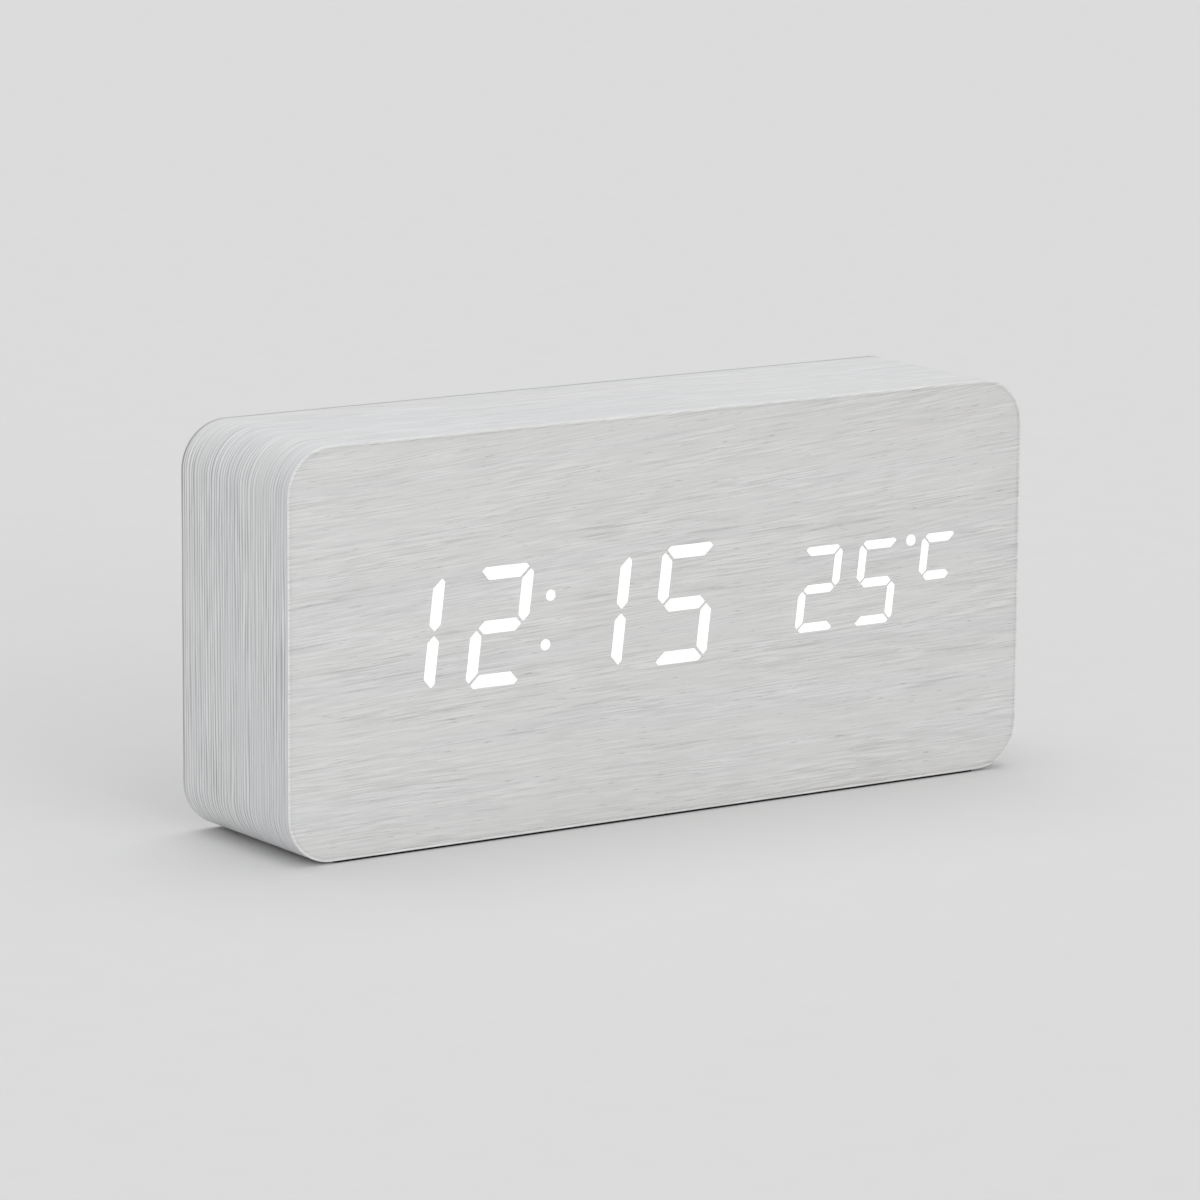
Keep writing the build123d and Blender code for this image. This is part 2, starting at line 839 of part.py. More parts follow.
def make_ribbon():
    start_y = display_board_back_y + socket_height - socket_slot_depth
    end_y = board_front_y - socket_height + socket_slot_depth
    middle_y = (start_y + end_y) / 2
    bend = ribbon_bend_share * (end_y - start_y) / 2
    low_x = board_x - ribbon_width / 2
    route = FilletPolyline(
        (start_y, display_socket_rise),
        (middle_y, display_socket_rise),
        (middle_y, main_socket_rise),
        (end_y, main_socket_rise),
        radius=bend,
    )
    return side_profile(trace(route, line_width=ribbon_thickness), low_x, ribbon_width)


# Rear cover
def latch_leg_x():
    """Centre line of the latch leg that is pressed to open the door."""
    return door_right_x - latch_leg_inset + 2 * latch_bend_radius


def latch_floor_y():
    return door_inner_y - latch_leg - latch_bend_radius - latch_thickness / 2


def hook_top_y():
    return cover_inner_y - hook_gap


def hook_slot_x():
    """The blind end of the slots that the door's hooks swing in."""
    return door_left_x - hook_reach - hook_end_play


def hook_slot_y():
    return cover_outer_y - hook_slot_depth


def hook_slot_half():
    return hook_width / 2 + hook_slot_side


def make_cell_cradles():
    """Cross ribs on the box floor, hollowed to the cells."""
    cradles = []
    half = cradle_place_share * box_inner_width
    for x in (box_x - half, box_x + half):
        rib = block(
            x - cradle_thickness / 2,
            x + cradle_thickness / 2,
            box_floor_y - box_floor / 2,
            box_floor_y + cradle_height,
            -box_inner_height / 2 - box_wall / 2,
            box_inner_height / 2 + box_wall / 2,
        )
        for rise in cell_rises:
            trough = Plane(origin=(x, cell_axis_y, body_center_z + rise), z_dir=(1, 0, 0))
            rib -= trough * Cylinder(cell_radius + cradle_fit, cradle_thickness + overrun)
        cradles.append(rib)
    return cradles


def make_battery_box():
    outer = RectangleRounded(box_outer_width, box_outer_height, box_radius + box_wall)
    inner = RectangleRounded(box_inner_width, box_inner_height, box_radius)
    box = prism(outer, box_front_y, door_inner_y, x=box_x)
    pocket_x = latch_leg_x() + latch_thickness / 2 + latch_play + pocket_wall
    pocket_y = latch_floor_y() - latch_play - pocket_wall
    pocket_half = latch_width / 2 + latch_play + pocket_wall
    box += block(box_right_x, pocket_x, pocket_y, cover_inner_y, -pocket_half, pocket_half)
    slot_x = hook_slot_x() - pocket_wall
    slot_y = hook_slot_y() - pocket_wall
    slot_half = hook_slot_half() + pocket_wall
    for rise in (-hook_rise, hook_rise):
        box += block(slot_x, box_left_x, slot_y, cover_inner_y, rise - slot_half, rise + slot_half)
    box -= prism(inner, box_floor_y, door_inner_y + overrun, x=box_x)
    return box + make_cell_cradles()


def door_cuts():
    """What the door, its hooks and its latch need taken out of the cover."""
    opening = RectangleRounded(door_width + 2 * door_gap, door_height + 2 * door_gap, door_radius + door_gap)
    inner = RectangleRounded(box_inner_width, box_inner_height, box_radius)
    cuts = [
        prism(opening, door_inner_y, cover_outer_y + overrun, x=box_x),
        prism(inner, cell_axis_y, cover_outer_y + overrun, x=box_x),
    ]
    past_wall_x = box_left_x + overrun
    past_ledge_y = door_inner_y + overrun
    for rise in (-hook_rise, hook_rise):
        low = rise - hook_slot_half()
        high = rise + hook_slot_half()
        cuts.append(block(hook_slot_x(), past_wall_x, hook_slot_y(), cover_inner_y, low, high))
        cuts.append(block(door_left_x - door_gap, past_wall_x, hook_slot_y(), past_ledge_y, low, high))
    latch_x = latch_leg_x() + latch_thickness / 2 + latch_play
    latch_y = latch_floor_y() - latch_play
    latch_half = latch_width / 2 + latch_play
    past_cover_y = cover_outer_y + overrun
    cuts.append(block(box_right_x - overrun, latch_x, latch_y, past_cover_y, -latch_half, latch_half))
    return cuts


def cover_holes():
    """Screw holes, button holes, power hole, sound holes and vents."""
    low_y = cover_inner_y - overrun
    high_y = cover_outer_y + overrun
    holes = []
    shank = screw_radius + screw_fit
    head = screw_head_radius + screw_fit
    throat_y = cover_outer_y - screw_head_height - screw_fit
    for x, rise in cover_screw_places():
        holes.append(peg(x, rise, shank, low_y, throat_y))
        holes.append(cone_peg(x, rise, shank, head, throat_y, cover_outer_y))
    for x in button_xs:
        holes.append(peg(x, button_rise, button_radius + button_fit, low_y, high_y))
    holes.append(peg(jack_x, jack_rise, jack_nose_radius + jack_nose_fit, low_y, high_y))
    holes.append(peg(microphone_x, microphone_rise, sound_hole_radius, low_y, high_y))
    holes.append(peg(buzzer_x, buzzer_rise, sound_hole_radius, low_y, high_y))
    for step in range(sound_hole_count):
        angle = step * 2 * math.pi / sound_hole_count
        hole_x = buzzer_x + sound_hole_ring * math.cos(angle)
        hole_rise = buzzer_rise + sound_hole_ring * math.sin(angle)
        holes.append(peg(hole_x, hole_rise, sound_hole_radius, low_y, high_y))
    for step in range(vent_count):
        vent_rise = sensor_rise + (step - (vent_count - 1) / 2) * vent_pitch
        vent = SlotOverall(vent_length, vent_width)
        holes.append(prism(vent, low_y, high_y, x=sensor_x, rise=vent_rise))
    return holes


def make_cover_rim():
    """The wall on the cover's inner face that sits in the core's cavity."""
    radius = cavity_radius - cover_fit
    low_y = cover_inner_y - rim_depth
    outer = RectangleRounded(rim_width, rim_height, radius)
    inner = RectangleRounded(rim_width - 2 * rim_wall, rim_height - 2 * rim_wall, radius - rim_wall)
    return prism(outer, low_y, cover_inner_y) - prism(inner, low_y - overrun, cover_inner_y + overrun)


def make_cover_ribs():
    """Low ribs that tie the bosses and the battery box to the rim."""
    low_y = cover_inner_y - rib_height
    half = rib_thickness / 2
    end_x = (rim_width - rim_wall) / 2
    end_rise = (rim_height - rim_wall) / 2
    box_end_x = (box_outer_width - box_wall) / 2
    cradle_x = cradle_place_share * box_inner_width
    boss_xs = sorted({x for x, rise in board_screw_places()})
    boss_rises = sorted({rise for x, rise in board_screw_places()})
    ribs = [block(-end_x, box_x - box_end_x, low_y, cover_inner_y, -half, half)]
    for x in [box_x - cradle_x, box_x + cradle_x] + boss_xs:
        ribs.append(block(x - half, x + half, low_y, cover_inner_y, -end_rise, end_rise))
    for rise in boss_rises:
        ribs.append(block(box_x + box_end_x, end_x, low_y, cover_inner_y, rise - half, rise + half))
    return ribs


def make_rear_cover():
    plate = prism(RectangleRounded(cover_width, cover_height, cover_radius), cover_inner_y, cover_outer_y)
    plate = chamfer(edges_at_depth(plate, cover_outer_y), cover_edge)
    cover = plate + make_cover_rim() + make_battery_box() + make_cover_ribs()
    for x, rise in board_screw_places():
        spread = board_standoff * math.tan(math.radians(boss_draft))
        cover += cone_peg(x, rise, boss_radius, boss_radius + spread, board_rear_y, cover_inner_y)
    for x in button_xs:
        collar = button_flange_radius + collar_fit
        cover += peg(x, button_rise, collar + collar_wall, cover_inner_y - collar_depth, cover_inner_y)
        cover -= peg(x, button_rise, collar, cover_inner_y - collar_depth - overrun, cover_inner_y)
    for x, rise in board_screw_places():
        cover -= peg(x, rise, screw_radius + screw_fit, board_rear_y - overrun, board_rear_y + screw_bite)
    for cut in door_cuts() + cover_holes():
        cover -= cut
    return cover


def make_cover_screws():
    return [countersunk_screw(x, rise) for x, rise in cover_screw_places()]


# Battery door
def make_door_hook(rise):
    """A tab that goes through the box wall and under the cover's edge."""
    top_y = hook_top_y()
    low_y = top_y - hook_thickness
    outline = Polygon(
        (door_left_x, door_inner_y),
        (door_left_x, top_y),
        (door_left_x - hook_reach, top_y),
        (door_left_x - hook_reach, low_y),
        (door_left_x + hook_root, low_y),
        (door_left_x + hook_root, door_inner_y),
        align=None,
    )
    return plan_profile(outline, rise, hook_width)


def make_door_latch():
    """A spring loop on the door's free edge, with a catch on the leg that is pressed."""
    fixed_x = door_right_x - latch_leg_inset
    free_x = latch_leg_x()
    bend_y = door_inner_y - latch_leg
    top_y = cover_outer_y - latch_setback
    route = Line((fixed_x, door_inner_y), (fixed_x, bend_y))
    bottom = ((fixed_x + free_x) / 2, bend_y - latch_bend_radius)
    route += ThreePointArc((fixed_x, bend_y), bottom, (free_x, bend_y))
    route += Line((free_x, bend_y), (free_x, top_y))
    face_x = free_x + latch_thickness / 2
    catch_y = cover_inner_y - hook_gap
    catch = Polygon(
        (face_x, catch_y), (face_x, catch_y - latch_nose_height), (face_x + latch_nose, catch_y), align=None
    )
    loop = plan_profile(trace(route, line_width=latch_thickness), 0, latch_width)
    return loop + plan_profile(catch, 0, latch_width)


def make_battery_door():
    door = prism(RectangleRounded(door_width, door_height, door_radius), door_inner_y, cover_outer_y, x=box_x)
    door = chamfer(edges_at_depth(door, cover_outer_y), door_edge)
    for rise in (-hook_rise, hook_rise):
        door += make_door_hook(rise)
    door += make_door_latch()
    for step in range(grip_count):
        grip_x = door_right_x - grip_inset - step * grip_pitch
        grip = SlotOverall(grip_length, grip_width, rotation=90)
        door += prism(grip, cover_outer_y, cover_outer_y + grip_height, x=grip_x)
    return door


# Cells, contacts and leads
def positive_on_right(row):
    """The cells lie head to tail."""
    return row % 2 == 0


def make_cells():
    cells = []
    body_length = cell_length - cell_nub_length
    for row, rise in enumerate(cell_rises):
        way = 1 if positive_on_right(row) else -1
        can = fillet(Cylinder(cell_radius, body_length).edges(), cell_edge)
        nub = Pos(0, 0, cell_length / 2) * Cylinder(cell_nub_radius, cell_nub_length)
        wall_x = box_right_x if way > 0 else box_left_x
        middle_x = wall_x - way * (contact_sheet + contact_play + cell_nub_length + body_length / 2)
        place = Plane(origin=(middle_x, cell_axis_y, body_center_z + rise), z_dir=(way, 0, 0))
        cells.append(place * (can + nub))
    return cells


def make_contact(on_right, rows):
    """One stamped contact: a plate on the box's end wall, with a bowed leaf at each negative end."""
    wall_x = box_right_x if on_right else box_left_x
    inward = -1 if on_right else 1
    low = cell_rises[rows[0]] - contact_half_width
    high = cell_rises[rows[-1]] + contact_half_width
    face_x = wall_x + inward * contact_sheet
    contact = block(
        min(wall_x, face_x), max(wall_x, face_x), box_floor_y, box_floor_y + contact_height, low, high
    )
    for row in rows:
        if positive_on_right(row) != on_right:
            root_x = wall_x + inward * contact_sheet / 2
            middle_y = box_floor_y + contact_height / 2
            bow = ThreePointArc(
                (root_x, middle_y - leaf_chord / 2),
                (root_x + inward * leaf_bow, middle_y),
                (root_x, middle_y + leaf_chord / 2),
            )
            contact += plan_profile(trace(bow, line_width=contact_sheet), cell_rises[row], leaf_width)
    return contact


def make_contacts_left():
    return [make_contact(False, [row, row + 1]) for row in range(0, cell_count, 2)]


def make_contacts_right():
    bridges = [make_contact(True, [row, row + 1]) for row in range(1, cell_count - 1, 2)]
    return [make_contact(True, [0])] + bridges + [make_contact(True, [cell_count - 1])]


def lead_exit_y():
    return box_floor_y + contact_height - lead_drop


def make_lead(row):
    """An insulated lead from a contact, out through the box wall and down onto the main board.

    It lands between the board's middle and the buzzer, clear of the buzzer's can.
    """
    rise = cell_rises[row]
    pad_rise = math.copysign(abs(buzzer_rise) - buzzer_radius - lead_pad_gap - lead_radius, rise)
    exit_y = lead_exit_y()
    pad_x = board_x - main_board_width / 2 + lead_pad_inset
    points = [
        Vector(box_right_x, exit_y, body_center_z + rise),
        Vector(box_right_x + lead_exit_run, exit_y, body_center_z + rise),
        Vector(pad_x, exit_y + lead_arch, body_center_z + pad_rise),
        Vector(pad_x, board_rear_y, body_center_z + pad_rise),
    ]
    radii = []
    for before, corner, after in zip(points, points[1:], points[2:]):
        turn = math.radians((corner - before).get_angle(after - corner))
        shorter = min((corner - before).length, (after - corner).length)
        radii.append(lead_bend_share * shorter / math.tan(turn / 2))
    print("lead bend radii", [round(radius, 2) for radius in radii])
    route = FilletPolyline(*points, radius=radii)
    section = Plane(origin=route @ 0, z_dir=route % 0) * Circle(lead_radius)
    return sweep(section, path=route)


def lead_holes():
    """Where the leads leave the battery box."""
    holes = []
    bore = Cylinder(lead_radius + lead_hole_fit, box_wall + 2 * overrun, align=standing)
    for row in (0, cell_count - 1):
        start = (box_right_x - overrun, lead_exit_y(), body_center_z + cell_rises[row])
        holes.append(Plane(origin=start, z_dir=(1, 0, 0)) * bore)
    return holes


nodes = {
    "case_core": make_case_core(),
    "edge_band": make_edge_band(),
    "front_veneer": make_front_veneer(),
    "rear_veneer": make_rear_veneer(),
    "rubber_feet": make_feet(),
    "light_mask": make_light_mask(),
    "digit_housing": make_digit_housing(),
    "time_diffusers": make_diffusers(time_outlines),
    "temperature_diffusers": make_diffusers(heat_outlines),
    "led_chips": make_led_chips(),
    "display_board": make_display_board(),
    "display_driver": make_chip(board_x - driver_offset, display_socket_rise, display_board_back_y, 1),
    "display_socket": make_socket(display_board_back_y, 1, display_socket_rise),
    "display_ribbon": make_ribbon(),
    "display_screws": make_display_screws(),
    "main_board": make_main_board(),
    "microcontroller": make_chip(controller_x, controller_rise, board_front_y, -1),
    "crystal": make_crystal(),
    "capacitor": make_capacitor(),
    "main_socket": make_socket(board_front_y, -1, main_socket_rise),
    "tact_switches": make_tact_switches(),
    "dc_jack": make_dc_jack(),
    "dc_jack_pin": make_dc_jack_pin(),
    "buzzer": make_buzzer(),
    "microphone": make_microphone(),
    "temperature_sensor": make_temperature_sensor(),
    "board_screws": make_board_screws(),
    "rear_cover": make_rear_cover() - lead_holes(),
    "cover_screws": make_cover_screws(),
    "battery_door": make_battery_door(),
    "battery_cells": make_cells(),
    "contacts_left": make_contacts_left(),
    "contacts_right": make_contacts_right(),
    "lead_positive": make_lead(0),
    "lead_negative": make_lead(cell_count - 1),
}
for name, outlines in glow_outlines.items():
    nodes[name] = make_glow(outlines)
for name, x in zip(["set", "up", "down"], button_xs):
    nodes[name + "_button"] = make_button(x)
    nodes[name + "_plunger"] = make_plunger(x)

os.makedirs("parts", exist_ok=True)
for name, shape in nodes.items():
    pieces = shape if isinstance(shape, list) else [shape]
    solids = [solid for piece in pieces for solid in piece.solids()]
    export_step(solids[0] if len(solids) == 1 else Compound(solids), os.path.join("parts", name + ".step"))
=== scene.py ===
import json
import math
from collections import namedtuple

import bpy
from mathutils import Matrix, Vector


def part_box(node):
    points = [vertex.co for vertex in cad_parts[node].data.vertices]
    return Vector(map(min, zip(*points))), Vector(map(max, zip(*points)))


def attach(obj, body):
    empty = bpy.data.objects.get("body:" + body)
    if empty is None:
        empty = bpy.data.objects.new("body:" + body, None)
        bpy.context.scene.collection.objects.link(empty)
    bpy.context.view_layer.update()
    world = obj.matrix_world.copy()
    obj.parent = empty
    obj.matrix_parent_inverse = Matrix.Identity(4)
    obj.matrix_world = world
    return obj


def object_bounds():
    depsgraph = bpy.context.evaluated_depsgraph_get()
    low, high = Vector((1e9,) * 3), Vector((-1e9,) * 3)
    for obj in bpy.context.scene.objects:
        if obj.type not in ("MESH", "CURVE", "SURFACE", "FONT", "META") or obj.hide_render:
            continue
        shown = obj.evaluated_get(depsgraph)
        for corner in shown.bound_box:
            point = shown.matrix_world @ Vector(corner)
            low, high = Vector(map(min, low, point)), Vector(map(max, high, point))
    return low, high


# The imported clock, and its box before anything is added. Metres throughout.
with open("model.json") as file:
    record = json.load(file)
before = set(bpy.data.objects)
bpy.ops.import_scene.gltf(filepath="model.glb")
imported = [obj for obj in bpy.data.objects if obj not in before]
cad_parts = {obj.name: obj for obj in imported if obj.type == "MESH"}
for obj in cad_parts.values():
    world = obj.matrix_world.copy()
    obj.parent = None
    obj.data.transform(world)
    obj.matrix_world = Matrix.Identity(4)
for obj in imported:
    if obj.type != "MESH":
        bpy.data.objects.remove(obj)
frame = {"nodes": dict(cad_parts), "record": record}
cad_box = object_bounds()
nodes = frame["nodes"]
slot_of_node = {part["node"]: part["material_slot"] for part in frame["record"]["subparts"]}
slot_color = {row["slot"]: row["base_color"] for row in frame["record"]["materials"]}
left_x = cad_box[0][0]
right_x = cad_box[1][0]
front_y = cad_box[0][1]
rear_y = cad_box[1][1]

# Camera
camera_place = (-0.76508, -1.12727, 0.30389)
camera_yaw = -0.59442
camera_pitch = -0.18690
camera_roll = -0.00620
camera_lens = 181.85
camera_sensor = 36.0

# Light: an even sky, a soft lamp high above and a little behind the clock, and a low one in front of it
white = (1.0, 1.0, 1.0, 1.0)
sky_strength = 0.65
backdrop_strength = 0.71
Lamp = namedtuple("Lamp", "strength spread toward")
lamps = {
    "top_lamp": Lamp(0.68, 0.9, (0.08, 0.25, 0.965)),
    "front_lamp": Lamp(0.58, 0.6, (0.0, -0.966, 0.26)),
}

# Floor
floor_half_width = 6.0
floor_color = (0.785, 0.785, 0.785)
floor_fleck = 0.012
floor_tones = (0.995, 1.005)
floor_roughness = 0.9
floor_sheen = 0.1

# White veneer: how long and how wide the features of its grain are
Streak = namedtuple("Streak", "length width")
fibre = Streak(0.011, 0.00024)
groove = Streak(0.026, 0.0007)
pore = Streak(0.0042, 0.00028)
ridge = Streak(0.024, 0.0006)
ring = Streak(0.160, 0.0045)
cloud = Streak(0.070, 0.0300)
patch = Streak(0.030, 0.0040)
tint = Streak(0.120, 0.0060)
drift = Streak(0.110, 0.0450)
wave = Streak(0.028, 0.0120)
wander = Streak(0.042, 0.0013)

# Close lines of the veneer: their pitch, how far they wander, and how they fade where the band faces up
line_pitch = 0.00068
line_wander_turns = 1.8
line_facing = (0.1, 0.9)
top_line_share = 0.4

# Relief and gloss of the veneer, and how strong its fibres and lines are from patch to patch
groove_depth = 0.00004
fibre_relief_share = 0.5
veneer_roughness = (0.56, 0.42)
patch_strengths = (0.3, 1.7)

# Where noise lies: most of it, the middle of it, its peaks, and the few highest values
most_noise = (0.3, 0.7)
middle_noise = (0.38, 0.62)
noise_peaks = (0.60, 0.74)
highest_noise = (0.68, 0.78)

# Ends of a mask, and how detailed and rough noise is
mask_ends = (0.0, 1.0)
falling_mask_ends = (1.0, 0.0)
plain_detail = 1.0
some_detail = 2.0
more_detail = 3.0
noise_roughness = 0.5

# The grain of a flat sheet and of the band round the sides: the axes along and across it, its coarseness,
# how far it leans, fans out, drifts and waves, the share of tone in each of its features, its painted light
# at the left and right ends (lighter on the left, darker on the right), its palest tone and its two tints
Grain = namedtuple(
    "Grain",
    "along across coarseness lean fan drift wave "
    "line fibre groove pore ridge ring cloud fade most cool warm",
)
sheet_grain = Grain(
    along="x", across="z", coarseness=1.0, lean=0.008, fan=0.7, drift=0.0035, wave=0.0008,
    line=0.02, fibre=0.085, groove=0.19, pore=0.34, ridge=0.09, ring=0.024, cloud=0.012,
    fade=(1.040, 0.968), most=1.15, cool=(0.795, 0.803, 0.799), warm=(0.813, 0.807, 0.792),
)
band_grain = Grain(
    along="xz", across="y", coarseness=1.6, lean=0.0, fan=0.0, drift=0.0008, wave=0.0002,
    line=0.23, fibre=0.07, groove=0.03, pore=0.06, ridge=0.03, ring=0.010, cloud=0.010,
    fade=(1.0, 1.0), most=1.2, cool=(0.738, 0.749, 0.764), warm=(0.757, 0.759, 0.757),
)

# Edges of the band: calm near the front, a painted highlight where it faces up there, darker where it faces
# sideways (painted shade on the right, a dark seam line on the left), and a dark line at the rear, wider on
# top
calm_strip = (0.0004, 0.0012)
painted_highlight_strip = (0.0003, 0.0001)
painted_highlight_facing = (0.15, 0.5)
painted_highlight_tone = 1.15
left_facing = (0.90, 0.99)
right_facing = (0.15, 0.5)
seam_and_shade_tone = 0.86
front_facing = (0.6, 0.95)
rear_line_strip = (0.0009, 0.0005)
rear_line_top_reach = 0.0006
rear_line_tone = 0.62

# Segments lit from behind, and how far their light spreads in the front sheet
glow_nodes = ("glow_hours", "glow_colon", "glow_minutes", "glow_temperature")
glow_fleck = 0.0008
glow_tones = (0.97, 1.03)
glow_strengths = (0.46, 0.54)
glow_side_share = 0.35
glow_side_facing = (0.3, 0.7)
glow_spread = 0.0020
glow_spread_share = 0.6
glow_spread_color_shares = (1.0, 1.0, 1.0)

# Every other finish: size of its flecks, spread of its tone, its roughness and the spread of that, the
# relief of its surface, its sheen, and metal or not
plain_sheen = 0.5
dull_sheen = 0.1
Surface = namedtuple(
    "Surface",
    "fleck tone_spread roughness roughness_spread relief sheen metallic",
    defaults=(plain_sheen, 0.0),
)
surfaces = {
    "fibreboard": Surface(0.0006, 0.30, 0.85, 0.08, 0.00008, sheen=dull_sheen),
    "diffuser_resin": Surface(0.0015, 0.06, 0.30, 0.08, 0.00001),
    "mask_film": Surface(0.0008, 0.30, 0.60, 0.10, 0.00001),
    "housing_plastic": Surface(0.0010, 0.05, 0.45, 0.08, 0.00002),
    "led_body": Surface(0.0006, 0.20, 0.35, 0.08, 0.00001),
    "circuit_board": Surface(0.0016, 0.35, 0.35, 0.12, 0.00003),
    "chip_epoxy": Surface(0.0003, 0.30, 0.55, 0.10, 0.00002),
    "socket_nylon": Surface(0.0012, 0.06, 0.45, 0.08, 0.00002),
    "ribbon_grey": Surface(0.0012, 0.12, 0.50, 0.08, 0.00003),
    "screw_steel": Surface(0.0004, 0.15, 0.32, 0.10, 0.00001, metallic=1.0),
    "black_screw": Surface(0.0004, 0.30, 0.36, 0.10, 0.00001, metallic=1.0),
    "can_metal": Surface(0.0005, 0.10, 0.28, 0.08, 0.00001, metallic=1.0),
    "capacitor_sleeve": Surface(0.0010, 0.15, 0.30, 0.08, 0.00001),
    "black_abs": Surface(0.00035, 0.22, 0.50, 0.10, 0.00004),
    "button_plastic": Surface(0.0005, 0.15, 0.38, 0.08, 0.00001),
    "switch_plastic": Surface(0.0005, 0.20, 0.50, 0.08, 0.00002),
    "jack_plastic": Surface(0.0005, 0.20, 0.30, 0.08, 0.00001),
    "jack_metal": Surface(0.0004, 0.08, 0.20, 0.06, 0.00001, metallic=1.0),
    "buzzer_plastic": Surface(0.0005, 0.20, 0.50, 0.08, 0.00002),
    "microphone_can": Surface(0.0005, 0.10, 0.30, 0.08, 0.00001, metallic=1.0),
    "sensor_epoxy": Surface(0.0005, 0.20, 0.25, 0.08, 0.00001),
    "cell_sleeve": Surface(0.0030, 0.03, 0.30, 0.05, 0.00001),
    "contact_nickel": Surface(0.0004, 0.10, 0.25, 0.08, 0.00001, metallic=1.0),
    "lead_red": Surface(0.0008, 0.12, 0.45, 0.08, 0.00002),
    "lead_black": Surface(0.0008, 0.20, 0.45, 0.08, 0.00002),
    "foot_rubber": Surface(0.0005, 0.25, 0.80, 0.08, 0.00004, sheen=dull_sheen),
}

# The feet are dark rubber, made blacker than the record's colour as painted shade: they turn the line under
# the case's bottom edge as black as a contact shadow
slot_color["foot_rubber"] = (0.012, 0.012, 0.012)

# Marks raised on the cover above the buttons
mark_radius = 0.0017
mark_wall_share = 0.62
mark_height = 0.00025
mark_sink = 0.00005
mark_rise = 0.0066
mark_sides = {"set_button": 32, "up_button": 3, "down_button": 3}
mark_turn = {"set_button": 0.0, "up_button": math.pi / 2, "down_button": -math.pi / 2}


# Building blocks of the materials
def wire(tree, kind, inputs, **settings):
    """Add one node. An input is another node's output, or a plain value."""
    node = tree.nodes.new("ShaderNode" + kind)
    for name, value in settings.items():
        setattr(node, name, value)
    for socket, value in inputs.items():
        if isinstance(value, bpy.types.NodeSocket):
            tree.links.new(value, node.inputs[socket])
        else:
            node.inputs[socket].default_value = value
    return node


def new_material(name):
    material = bpy.data.materials.new(name)
    material.use_nodes = True
    return material, material.node_tree, material.node_tree.nodes["Principled BSDF"]


def object_place(tree):
    return wire(tree, "TexCoord", {}).outputs["Object"]


def object_normal(tree):
    """The three parts of the direction that a surface faces."""
    return wire(tree, "SeparateXYZ", {0: wire(tree, "TexCoord", {}).outputs["Normal"]}).outputs


def noise(tree, place, size, detail=some_detail):
    """Noise whose features measure about size along each axis, from 0 to 1."""
    scale = [1 / length for length in size]
    stretched = wire(tree, "VectorMath", {0: place, 1: scale}, operation="MULTIPLY").outputs[0]
    inputs = {"Vector": stretched, "Scale": 1.0, "Detail": detail, "Roughness": noise_roughness}
    return wire(tree, "TexNoise", inputs).outputs[0]


def even_noise(tree, size):
    """Noise whose features measure as much along every axis."""
    return noise(tree, object_place(tree), [size] * 3)


def span(tree, value, ends, new_ends):
    """Carry a value from one range to another, and hold it there."""
    inputs = {"Value": value, "From Min": ends[0], "From Max": ends[1]}
    inputs["To Min"], inputs["To Max"] = new_ends
    return wire(tree, "MapRange", inputs).outputs[0]


def about(middle, spread):
    """Ends of a range that reaches as far below its middle as above."""
    return (middle - spread, middle + spread)


def math_node(tree, operation, *values):
    return wire(tree, "Math", dict(enumerate(values)), operation=operation).outputs[0]


def product(tree, values):
    total = values[0]
    for value in values[1:]:
        total = math_node(tree, "MULTIPLY", total, value)
    return total


def tinted(tree, color, tone):
    """A colour made lighter or darker by a tone that is 1 where the colour is as written."""
    return wire(tree, "VectorMath", {0: color, "Scale": tone}, operation="SCALE").outputs[0]


def mixed(tree, share, first, second):
    """Two colours mixed. Sockets are given by number, because several of them share a name."""
    return wire(tree, "Mix", {0: share, 6: first, 7: second}, data_type="RGBA").outputs[2]


def add_bump(tree, shader, height, distance):
    bump = wire(tree, "Bump", {"Height": height, "Distance": distance})
    tree.links.new(bump.outputs["Normal"], shader.inputs["Normal"])


def assign(node, material):
    nodes[node].data.materials.clear()
    nodes[node].data.materials.append(material)


# White veneer
def grain_size(grain, streak):
    """Sizes along x, y and z of a streak that runs along some axes and is narrow across the rest."""
    return [streak.length if axis in grain.along else streak.width * grain.coarseness for axis in "xyz"]


def grain_place(tree, grain):
    """Where a point would be if the grain ran straight: the grain fans out sideways, drifts and waves."""
    place = object_place(tree)
    parts = list(wire(tree, "SeparateXYZ", {0: place}).outputs)
    across = "xyz".index(grain.across)
    moved = parts[across]
    for streak, reach in ((drift, grain.drift), (wave, grain.wave)):
        bend = noise(tree, place, grain_size(grain, streak), plain_detail)
        moved = math_node(tree, "MULTIPLY_ADD", bend, reach, moved)
    slope = math_node(tree, "MULTIPLY_ADD", parts[across], -grain.fan, -grain.lean)
    parts[across] = math_node(tree, "MULTIPLY_ADD", parts[0], slope, moved)
    return wire(tree, "CombineXYZ", dict(enumerate(parts))).outputs[0]


